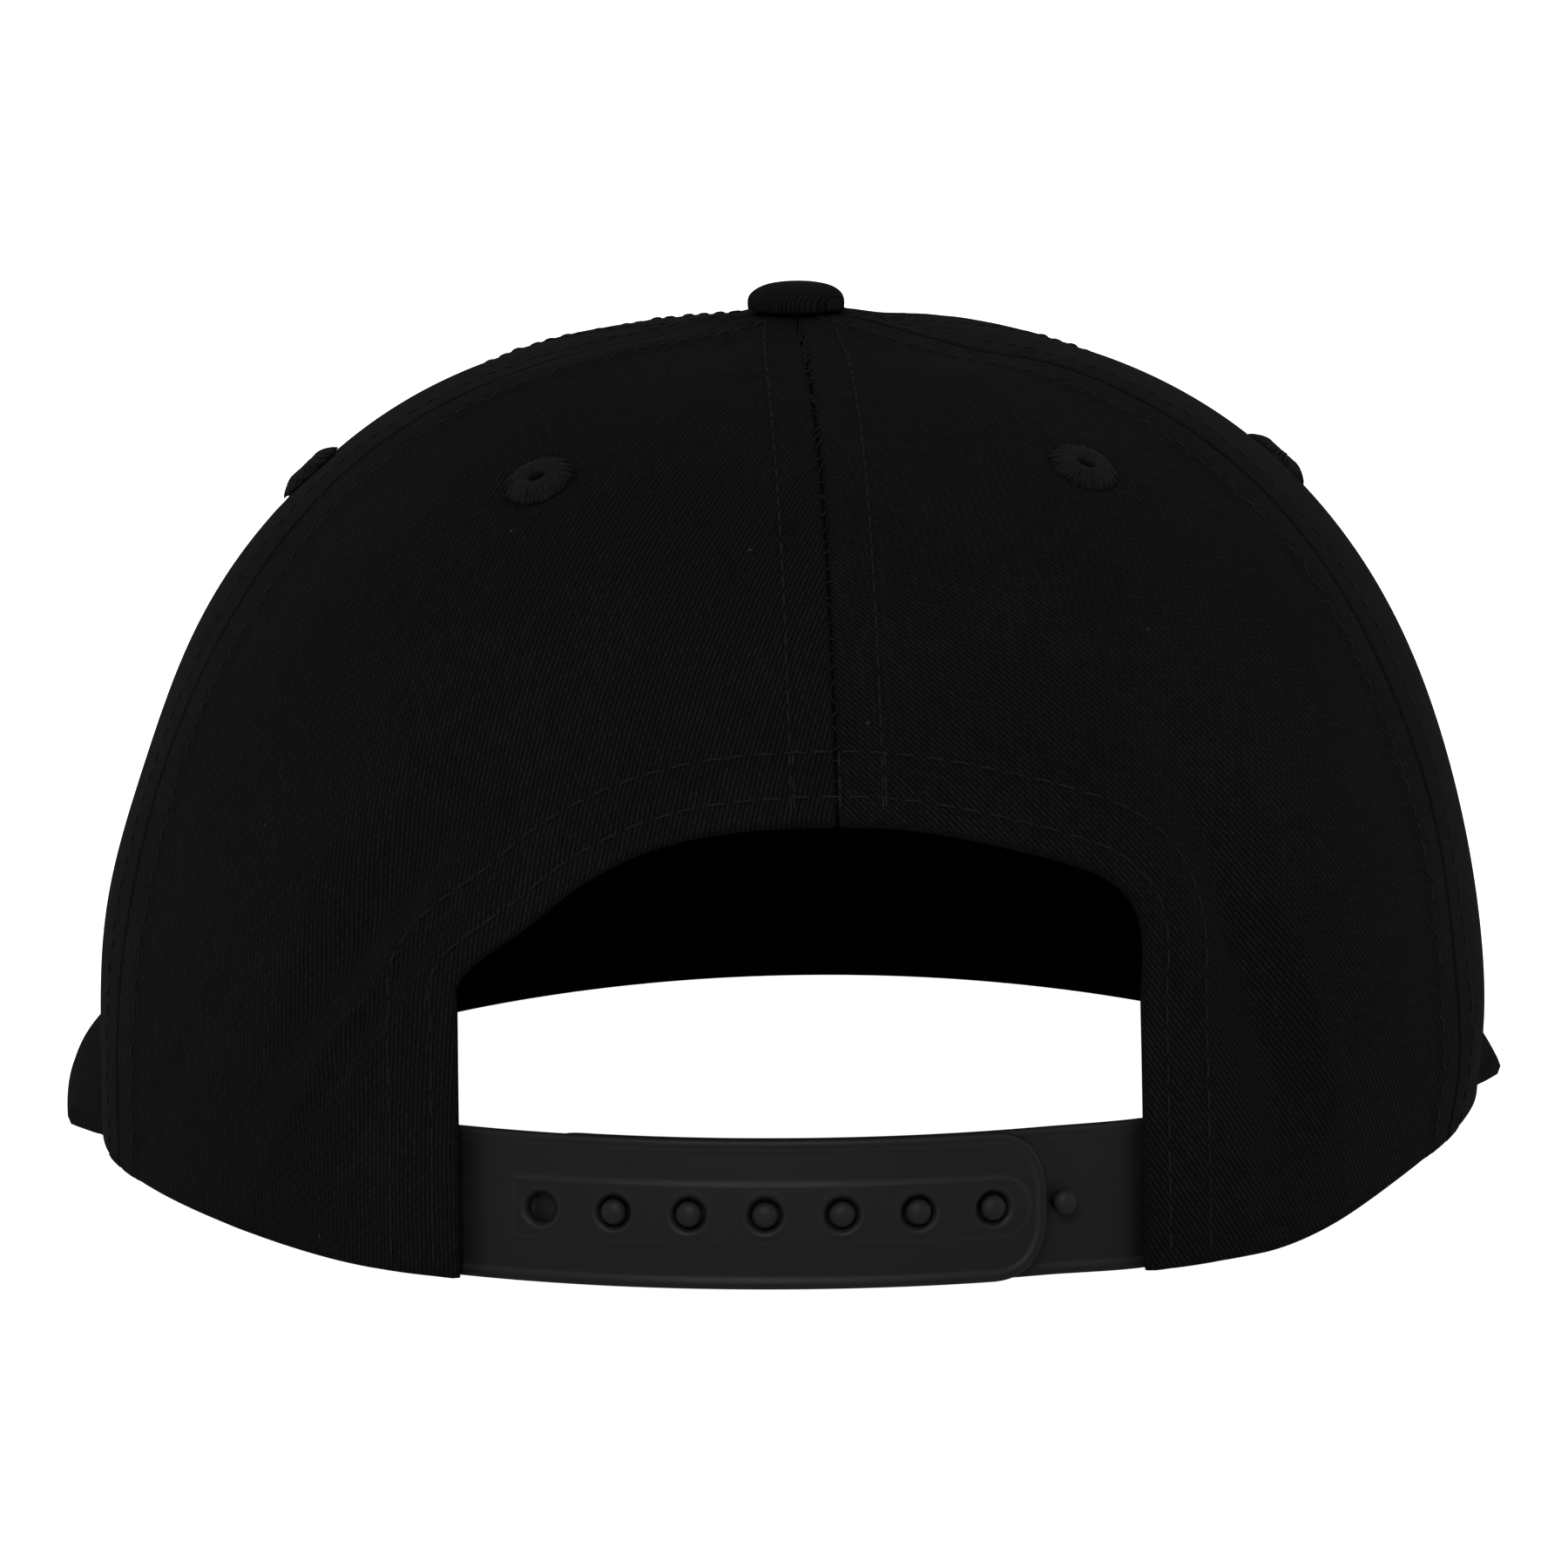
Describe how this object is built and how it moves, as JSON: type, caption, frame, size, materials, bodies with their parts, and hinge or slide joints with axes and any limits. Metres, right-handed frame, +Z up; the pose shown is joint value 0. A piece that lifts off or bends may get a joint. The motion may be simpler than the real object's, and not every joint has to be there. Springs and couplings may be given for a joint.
{
  "type": "snapback cap",
  "caption": "Snapback cap with a soft panelled crown, an arched back opening over a two-part snap strap, and a broad visor.",
  "frame": {"origin": "on the ground the cap rests on, under the middle of its overall length and width", "axes": "+Z up, -Y along the visor, +X to the wearer's left"},
  "size_m": [0.182, 0.2686, 0.1098],
  "materials": {
    "twill": "black cotton twill with topstitched seams",
    "embroidery": "black satin-stitched thread",
    "band_cloth": "plain black cotton",
    "snap_plastic": "black moulded plastic with a fine satin surface"
  },
  "bodies": {
    "root": {"crown_panel_back_left": "twill", "crown_panel_side_left": "twill", "crown_panel_front_left": "twill", "crown_panel_front_right": "twill", "crown_panel_side_right": "twill", "crown_panel_back_right": "twill", "eyelet_back_left": "embroidery", "eyelet_side_left": "embroidery", "eyelet_front_left": "embroidery", "eyelet_front_right": "embroidery", "eyelet_side_right": "embroidery", "eyelet_back_right": "embroidery", "top_button": "twill", "visor": "twill", "sweatband": "band_cloth", "snap_strap_holes": "snap_plastic", "snap_strap_pegs": "snap_plastic"}
  },
  "joints": []
}
